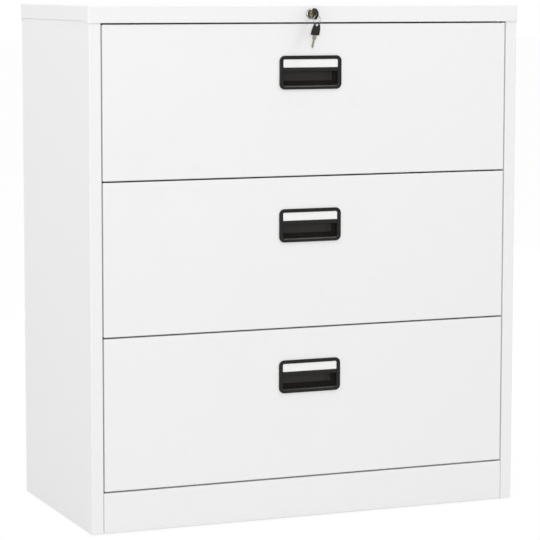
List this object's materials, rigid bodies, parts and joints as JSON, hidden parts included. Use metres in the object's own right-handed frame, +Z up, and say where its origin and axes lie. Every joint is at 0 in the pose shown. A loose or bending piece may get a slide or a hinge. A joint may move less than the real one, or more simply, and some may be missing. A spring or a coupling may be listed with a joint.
{
  "type": "lateral filing cabinet",
  "caption": "White steel lateral filing cabinet with stacked full-width drawers on telescopic slides, recessed black label handles and a key lock in the lid that works a common locking bar.",
  "frame": {"origin": "on the floor under the centre of the whole outline, the key in the lock included", "axes": "+Z up, +X to the right seen from the front, the drawers open along -Y"},
  "size_m": [0.9, 0.4753, 1.005],
  "materials": {
    "white_paint": "satin powder coat",
    "black_plastic": "fine moulded grain",
    "zinc_steel": "bright zinc plate",
    "chrome": "polished",
    "nickel_brass": "nickel-plated, worn to brass",
    "paper": "uncoated white card"
  },
  "bodies": {
    "case": {"back_panel": "white_paint", "base_pan": "white_paint", "drawer_1_slide_left_outer": "zinc_steel", "drawer_1_slide_right_outer": "zinc_steel", "drawer_2_slide_left_outer": "zinc_steel", "drawer_2_slide_right_outer": "zinc_steel", "drawer_3_slide_left_outer": "zinc_steel", "drawer_3_slide_right_outer": "zinc_steel", "foot_front_left": "black_plastic", "foot_front_right": "black_plastic", "foot_rear_left": "black_plastic", "foot_rear_right": "black_plastic", "left_side_panel": "white_paint", "left_slide_mount": "white_paint", "lock_housing": "chrome", "lock_nut": "zinc_steel", "lock_rail": "white_paint", "plinth": "white_paint", "right_side_panel": "white_paint", "right_slide_mount": "white_paint", "top_lid": "white_paint"},
    "drawer_1": {"drawer_1_front": "white_paint", "drawer_1_tray": "white_paint", "drawer_1_handle": "black_plastic", "drawer_1_label_card": "paper", "drawer_1_rail_front": "zinc_steel", "drawer_1_rail_rear": "zinc_steel", "drawer_1_slide_left_inner": "zinc_steel", "drawer_1_slide_right_inner": "zinc_steel"},
    "drawer_1_middle_members": {"drawer_1_slide_left_middle": "zinc_steel", "drawer_1_slide_right_middle": "zinc_steel"},
    "drawer_2": {"drawer_2_front": "white_paint", "drawer_2_tray": "white_paint", "drawer_2_handle": "black_plastic", "drawer_2_label_card": "paper", "drawer_2_rail_front": "zinc_steel", "drawer_2_rail_rear": "zinc_steel", "drawer_2_slide_left_inner": "zinc_steel", "drawer_2_slide_right_inner": "zinc_steel"},
    "drawer_2_middle_members": {"drawer_2_slide_left_middle": "zinc_steel", "drawer_2_slide_right_middle": "zinc_steel"},
    "drawer_3": {"drawer_3_front": "white_paint", "drawer_3_tray": "white_paint", "drawer_3_handle": "black_plastic", "drawer_3_label_card": "paper", "drawer_3_rail_front": "zinc_steel", "drawer_3_rail_rear": "zinc_steel", "drawer_3_slide_left_inner": "zinc_steel", "drawer_3_slide_right_inner": "zinc_steel"},
    "drawer_3_middle_members": {"drawer_3_slide_left_middle": "zinc_steel", "drawer_3_slide_right_middle": "zinc_steel"},
    "lock_core": {"lock_plug": "chrome", "lock_cam": "zinc_steel"},
    "slide_bar": {"lock_slide_bar": "zinc_steel", "lock_drop_bar": "zinc_steel"},
    "key": {"key_bow": "black_plastic", "key_blade": "nickel_brass"},
    "ring": {"key_ring": "chrome"}
  },
  "joints": [
    {"name": "drawer_1_slide", "type": "slide", "parent": "case", "child": "drawer_1", "axis": [0, -1, 0], "range_m": [0, 0.36]},
    {"name": "drawer_1_middle_slide", "type": "slide", "parent": "case", "child": "drawer_1_middle_members", "axis": [0, -1, 0], "range_m": [0, 0.18]},
    {"name": "drawer_2_slide", "type": "slide", "parent": "case", "child": "drawer_2", "axis": [0, -1, 0], "range_m": [0, 0.36]},
    {"name": "drawer_2_middle_slide", "type": "slide", "parent": "case", "child": "drawer_2_middle_members", "axis": [0, -1, 0], "range_m": [0, 0.18]},
    {"name": "drawer_3_slide", "type": "slide", "parent": "case", "child": "drawer_3", "axis": [0, -1, 0], "range_m": [0, 0.36]},
    {"name": "drawer_3_middle_slide", "type": "slide", "parent": "case", "child": "drawer_3_middle_members", "axis": [0, -1, 0], "range_m": [0, 0.18]},
    {"name": "lock_turn", "type": "hinge", "parent": "case", "child": "lock_core", "pos_m": [0, -0.2025, 0.988], "axis": [0, 1, 0], "range_deg": [0, 90]},
    {"name": "lock_bar_shift", "type": "slide", "parent": "case", "child": "slide_bar", "axis": [-1, 0, 0], "range_m": [0, 0.01202]},
    {"name": "key_withdraw", "type": "slide", "parent": "lock_core", "child": "key", "axis": [0, -1, 0], "range_m": [0, 0.03]},
    {"name": "ring_swing", "type": "hinge", "parent": "key", "child": "ring", "pos_m": [0, -0.2318, 0.9864], "axis": [-0.9703, -0.2419, 0], "range_deg": [-10, 70]}
  ],
  "couplings": [
    {"joint": "drawer_1_middle_slide", "follows": "drawer_1_slide", "ratio": 0.5},
    {"joint": "drawer_2_middle_slide", "follows": "drawer_2_slide", "ratio": 0.5},
    {"joint": "drawer_3_middle_slide", "follows": "drawer_3_slide", "ratio": 0.5},
    {"joint": "lock_turn", "follows": "lock_bar_shift", "rad_per_m": 130.68}
  ]
}
